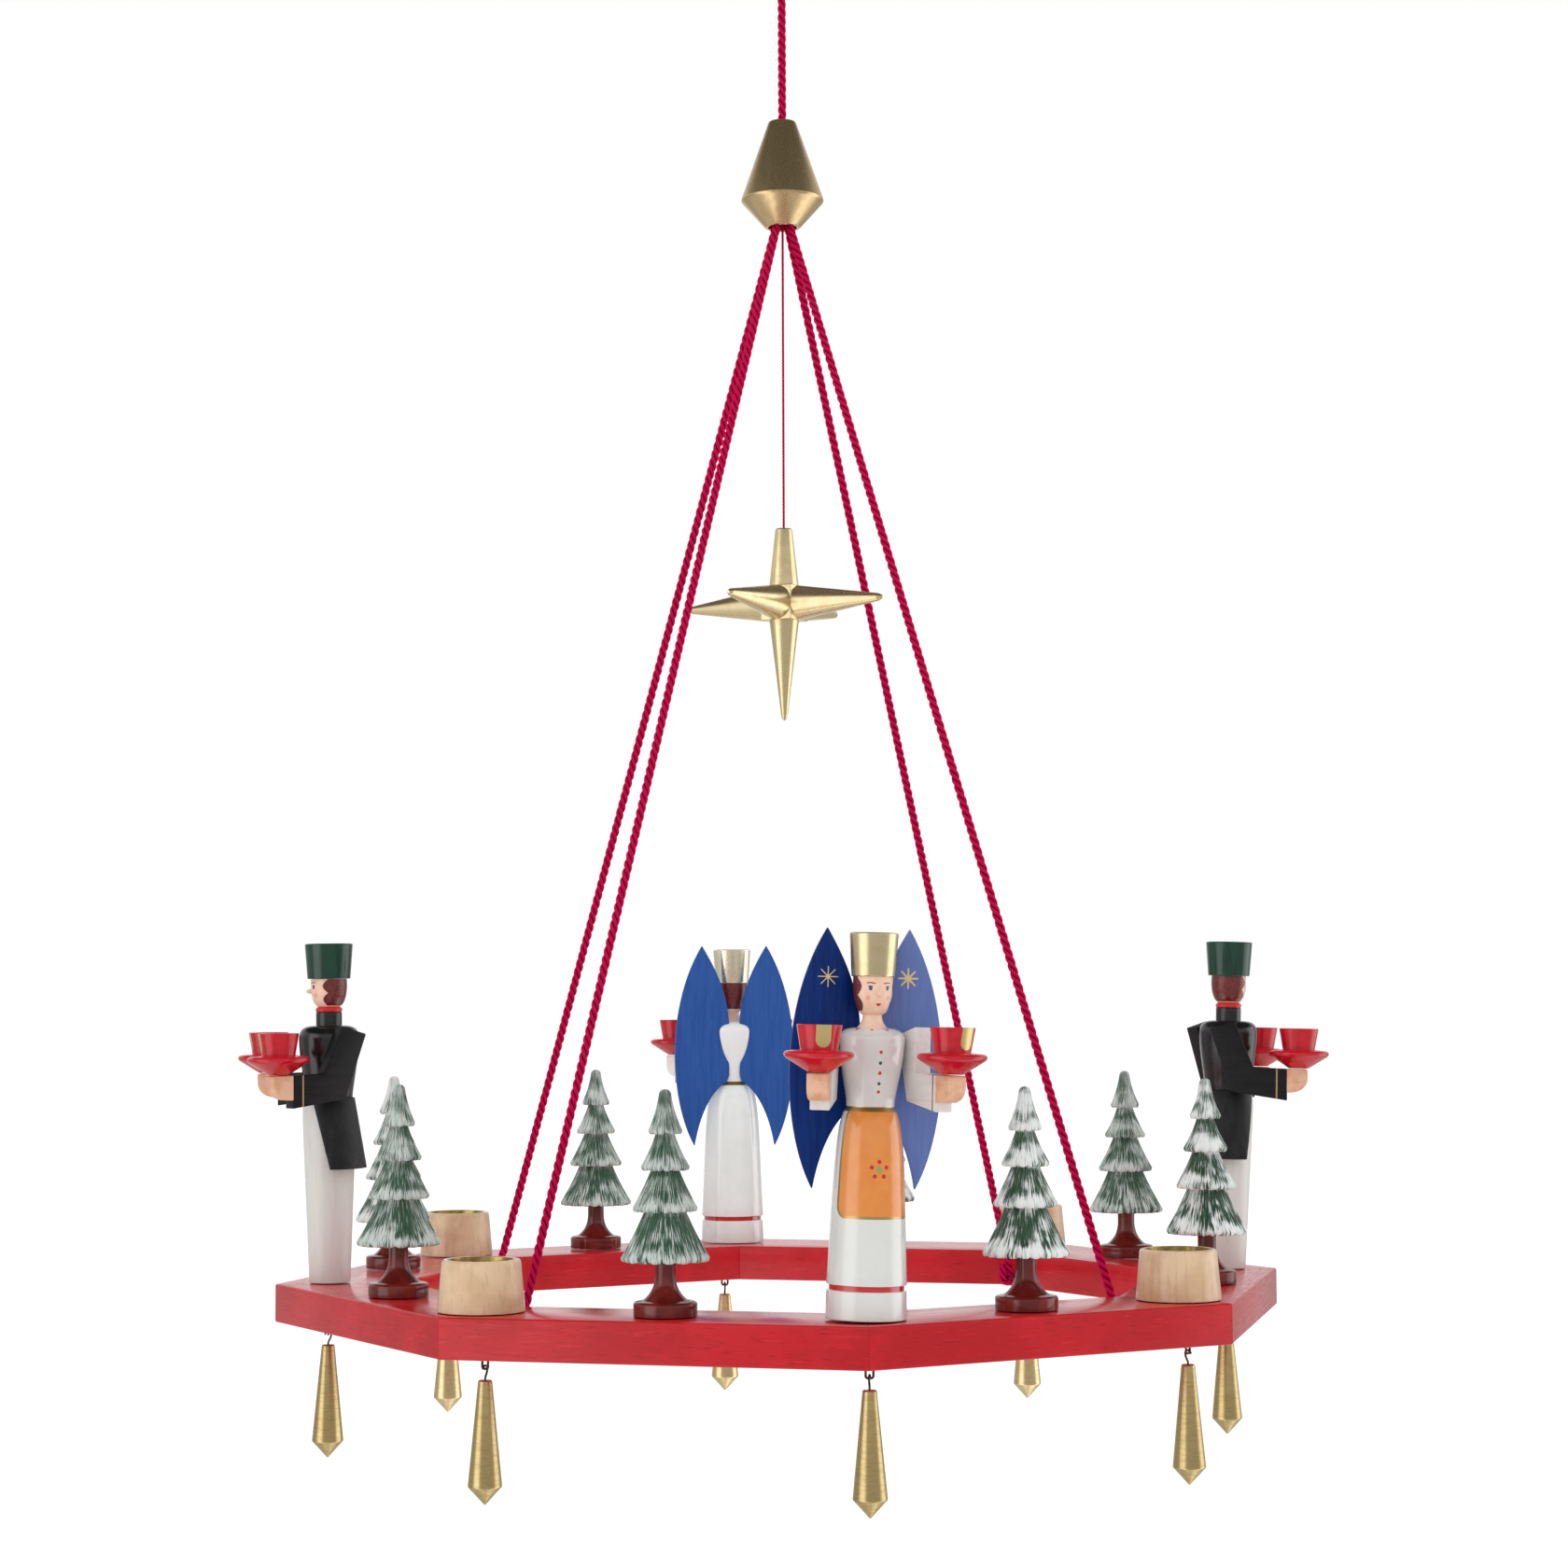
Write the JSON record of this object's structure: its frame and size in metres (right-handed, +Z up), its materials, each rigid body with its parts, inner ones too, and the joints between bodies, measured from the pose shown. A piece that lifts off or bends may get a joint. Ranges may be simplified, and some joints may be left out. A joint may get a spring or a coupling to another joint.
{
  "type": "hanging candle holder",
  "caption": "Octagonal wooden candle ring hung on cords, with turned figures holding small candle sockets, cups for larger candles, little trees, hanging drops and a central star.",
  "frame": {"origin": "bearing point of the hanging loop, on the object's vertical axis", "axes": "+Z up along the hanging cord; -Y towards the front angel; +X to the viewer's right"},
  "size_m": [0.4314, 0.4241, 0.6176],
  "materials": {
    "ring_red": "glossy red lacquer on wood",
    "holder_red": "glossy red paint",
    "cord_crimson": "twisted crimson cord",
    "gold_wood": "satin gold paint on turned wood",
    "brass": "drawn brass",
    "pale_wood": "clear matt varnish",
    "tree_green": "green paint with white brush marks",
    "white_lacquer": "glossy white paint with painted trim",
    "black_lacquer": "satin black paint",
    "painted_face": "painted face, hair and hat",
    "wing_blue": "blue paint with gold stars"
  },
  "bodies": {
    "hanger": {"hanging_cord": "cord_crimson"},
    "frame": {"hub": "gold_wood", "suspension_cord_1": "cord_crimson", "suspension_cord_2": "cord_crimson", "suspension_cord_3": "cord_crimson", "suspension_cord_4": "cord_crimson", "ring_rail_1": "ring_red", "ring_rail_2": "ring_red", "ring_rail_3": "ring_red", "ring_rail_4": "ring_red", "ring_rail_5": "ring_red", "ring_rail_6": "ring_red", "ring_rail_7": "ring_red", "ring_rail_8": "ring_red", "tree_1": "tree_green", "tree_2": "tree_green", "tree_3": "tree_green", "tree_4": "tree_green", "tree_5": "tree_green", "tree_6": "tree_green", "tree_7": "tree_green", "tree_8": "tree_green", "candle_cup_1": "pale_wood", "brass_insert_1": "brass", "candle_cup_2": "pale_wood", "brass_insert_2": "brass", "candle_cup_3": "pale_wood", "brass_insert_3": "brass", "candle_cup_4": "pale_wood", "brass_insert_4": "brass", "angel_front_body": "white_lacquer", "angel_front_head": "painted_face", "angel_front_wing_right": "wing_blue", "angel_front_holder_right": "holder_red", "angel_front_wing_left": "wing_blue", "angel_front_holder_left": "holder_red", "miner_left_body": "black_lacquer", "miner_left_head": "painted_face", "miner_left_holder_right": "holder_red", "miner_left_holder_left": "holder_red", "angel_rear_body": "white_lacquer", "angel_rear_head": "painted_face", "angel_rear_wing_right": "wing_blue", "angel_rear_holder_right": "holder_red", "angel_rear_wing_left": "wing_blue", "angel_rear_holder_left": "holder_red", "miner_right_body": "black_lacquer", "miner_right_head": "painted_face", "miner_right_holder_right": "holder_red", "miner_right_holder_left": "holder_red"},
    "thread": {"star_thread": "cord_crimson"},
    "star": {"star": "gold_wood"},
    "drop_1": {"drop_1": "gold_wood"},
    "drop_2": {"drop_2": "gold_wood"},
    "drop_3": {"drop_3": "gold_wood"},
    "drop_4": {"drop_4": "gold_wood"},
    "drop_5": {"drop_5": "gold_wood"},
    "drop_6": {"drop_6": "gold_wood"},
    "drop_7": {"drop_7": "gold_wood"},
    "drop_8": {"drop_8": "gold_wood"}
  },
  "joints": [
    {"name": "cord_twist", "type": "hinge", "parent": "hanger", "child": "frame", "pos_m": [0, 0, 0], "axis": [0, 0, 1], "range_deg": [-180, 180]},
    {"name": "star_swing", "type": "hinge", "parent": "frame", "child": "thread", "pos_m": [0, 0, -0.1109], "axis": [1, 0, 0], "range_deg": [-3, 3]},
    {"name": "star_spin", "type": "hinge", "parent": "thread", "child": "star", "pos_m": [0, 0, -0.2803], "axis": [0, 0, 1], "continuous": true},
    {"name": "drop_1_swing", "type": "hinge", "parent": "frame", "child": "drop_1", "pos_m": [0.0034, -0.1796, -0.56735], "axis": [1, 0, 0], "range_deg": [-60, 60]},
    {"name": "drop_2_swing", "type": "hinge", "parent": "frame", "child": "drop_2", "pos_m": [-0.12459, -0.1294, -0.56735], "axis": [0.7071, -0.7071, 0], "range_deg": [-60, 60]},
    {"name": "drop_3_swing", "type": "hinge", "parent": "frame", "child": "drop_3", "pos_m": [-0.1796, -0.0034, -0.56735], "axis": [0, -1, 0], "range_deg": [-60, 60]},
    {"name": "drop_4_swing", "type": "hinge", "parent": "frame", "child": "drop_4", "pos_m": [-0.1294, 0.12459, -0.56735], "axis": [-0.7071, -0.7071, 0], "range_deg": [-60, 60]},
    {"name": "drop_5_swing", "type": "hinge", "parent": "frame", "child": "drop_5", "pos_m": [-0.0034, 0.1796, -0.56735], "axis": [-1, 0, 0], "range_deg": [-60, 60]},
    {"name": "drop_6_swing", "type": "hinge", "parent": "frame", "child": "drop_6", "pos_m": [0.12459, 0.1294, -0.56735], "axis": [-0.7071, 0.7071, 0], "range_deg": [-60, 60]},
    {"name": "drop_7_swing", "type": "hinge", "parent": "frame", "child": "drop_7", "pos_m": [0.1796, 0.0034, -0.56735], "axis": [0, 1, 0], "range_deg": [-60, 60]},
    {"name": "drop_8_swing", "type": "hinge", "parent": "frame", "child": "drop_8", "pos_m": [0.1294, -0.12459, -0.56735], "axis": [0.7071, 0.7071, 0], "range_deg": [-60, 60]}
  ]
}
